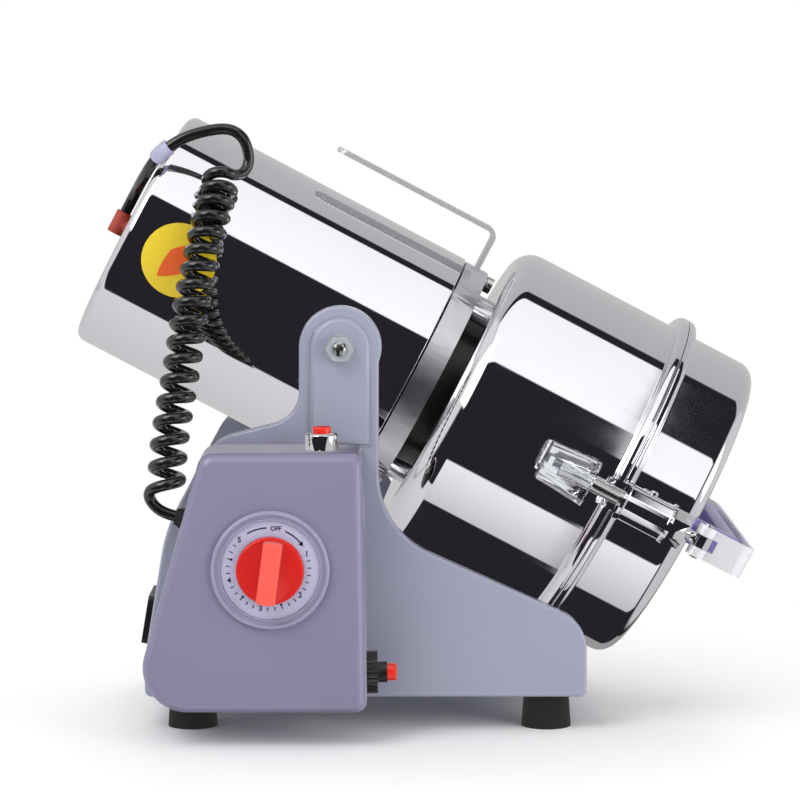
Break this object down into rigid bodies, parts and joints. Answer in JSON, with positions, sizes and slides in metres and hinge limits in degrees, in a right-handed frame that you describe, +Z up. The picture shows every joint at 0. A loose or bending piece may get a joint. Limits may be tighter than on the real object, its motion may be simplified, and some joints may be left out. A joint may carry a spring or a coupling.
{
  "type": "commercial herb grinder",
  "caption": "Tilting high-speed herb grinder: polished motor and bowl swing between painted cheeks, with a clamped lid, blades, timer box and a curly cord.",
  "frame": {"origin": "on the floor under the middle of the object's box, cords left out", "axes": "+X to the lid's side, +Y away from the control box towards the back, +Z up"},
  "size_m": [0.4148, 0.2738, 0.3649],
  "materials": {
    "base_paint": "fine satin paint on a casting",
    "box_paint": "satin violet-grey paint",
    "black_rubber": "matt black rubber",
    "black_plastic": "matt black moulding",
    "polished_steel": "mirror-polished stainless sheet",
    "bright_steel": "turned bright steel",
    "blade_steel": "ground blade steel",
    "cast_alloy": "machined alloy casting",
    "core_steel": "stacked laminations",
    "copper": "enamelled copper",
    "carbon": "pressed carbon",
    "dial_grey": "printed grey plastic",
    "red_plastic": "bright red moulding",
    "red_rubber": "red rubber boot",
    "chrome_trim": "bright chrome",
    "neck_plastic": "black moulding",
    "violet_plastic": "violet moulding",
    "lilac_wrap": "thin lilac sleeve",
    "clear_plastic": "clear faceted plastic"
  },
  "bodies": {
    "base": {"base_plate": "base_paint", "front_cheek": "base_paint", "rear_cheek": "base_paint", "end_plate": "base_paint", "feet": "black_rubber", "foot_screws": "bright_steel", "control_box": "box_paint", "timer_bezel": "dial_grey", "timer_dial": "dial_grey", "timer_body": "black_plastic", "overload_body": "neck_plastic", "overload_nut": "black_plastic", "button_bezel": "chrome_trim", "power_inlet": "black_plastic", "cord_bushing": "black_rubber", "curly_cord": "black_rubber", "pivot_bolts": "bright_steel", "pivot_nuts": "bright_steel", "pivot_washers": "bright_steel"},
    "grinder": {"motor_housing": "polished_steel", "end_cover": "cast_alloy", "stator_core": "core_steel", "field_coils": "copper", "bearings": "bright_steel", "brush_holders": "black_plastic", "carbon_brushes": "carbon", "end_bell": "cast_alloy", "dust_sleeve": "black_plastic", "bowl_screws": "bright_steel", "tilt_handle": "polished_steel", "handle_bolt": "bright_steel", "bowl": "polished_steel", "shaft_seal": "black_rubber", "clamp_barrel": "polished_steel", "barrel_screw": "bright_steel", "cord_grommet": "red_rubber", "trunnions": "cast_alloy", "cord_loop": "black_rubber", "cord_wrap": "lilac_wrap"},
    "rotor": {"motor_shaft": "bright_steel", "armature_core": "core_steel", "armature_windings": "copper", "commutator": "copper", "cooling_fan": "cast_alloy", "blade_spacers": "bright_steel", "lower_blade": "blade_steel", "middle_blade": "blade_steel", "upper_blade": "blade_steel", "blade_nut": "bright_steel"},
    "clamp_post": {"hinge_eye": "bright_steel"},
    "clamp_screw": {"clamp_rod": "bright_steel", "clamp_knob": "clear_plastic"},
    "lid": {"lid": "polished_steel", "lid_gasket": "black_rubber", "lid_strap": "polished_steel", "lid_handle": "violet_plastic", "hinge_pin": "bright_steel"},
    "timer_knob": {"timer_knob": "red_plastic"},
    "power_button": {"power_button": "red_plastic"},
    "reset_button": {"reset_button": "red_plastic"}
  },
  "joints": [
    {"name": "tilt", "type": "hinge", "parent": "base", "child": "grinder", "pos_m": [-0.04447, 0.0289, 0.23081], "axis": [0, 1, 0], "range_deg": [-118, 0], "deforming": ["curly_cord", "cord_loop", "cord_wrap"]},
    {"name": "rotor_spin", "type": "hinge", "parent": "grinder", "child": "rotor", "pos_m": [-0.04447, 0.0289, 0.23081], "axis": [0.8846, 0, -0.4664], "continuous": true},
    {"name": "clamp_lift", "type": "slide", "parent": "grinder", "child": "clamp_post", "axis": [0.8846, 0, -0.4664], "range_m": [0, 0.007]},
    {"name": "clamp_turn", "type": "hinge", "parent": "clamp_post", "child": "clamp_screw", "pos_m": [0.10237, -0.0891, 0.15339], "axis": [0.8846, 0, -0.4664], "range_deg": [0, 1440]},
    {"name": "lid_open", "type": "hinge", "parent": "clamp_post", "child": "lid", "pos_m": [0.16765, -0.0891, 0.11897], "axis": [-0.4664, 0, -0.8846], "range_deg": [0, 100]},
    {"name": "timer_turn", "type": "hinge", "parent": "base", "child": "timer_knob", "pos_m": [-0.08417, -0.1179, 0.10601], "axis": [0, 1, 0], "range_deg": [0, 300]},
    {"name": "power_press", "type": "slide", "parent": "base", "child": "power_button", "axis": [0, 0, -1], "range_m": [0, 0.003], "stiffness_N_per_m": 900, "springref_m": -0.001},
    {"name": "reset_press", "type": "slide", "parent": "base", "child": "reset_button", "axis": [-0.9999, 0, -0.0158], "range_m": [0, 0.0025], "stiffness_N_per_m": 900, "springref_m": -0.001}
  ],
  "couplings": [
    {"joint": "clamp_turn", "follows": "clamp_lift", "rad_per_m": 3590.4}
  ]
}
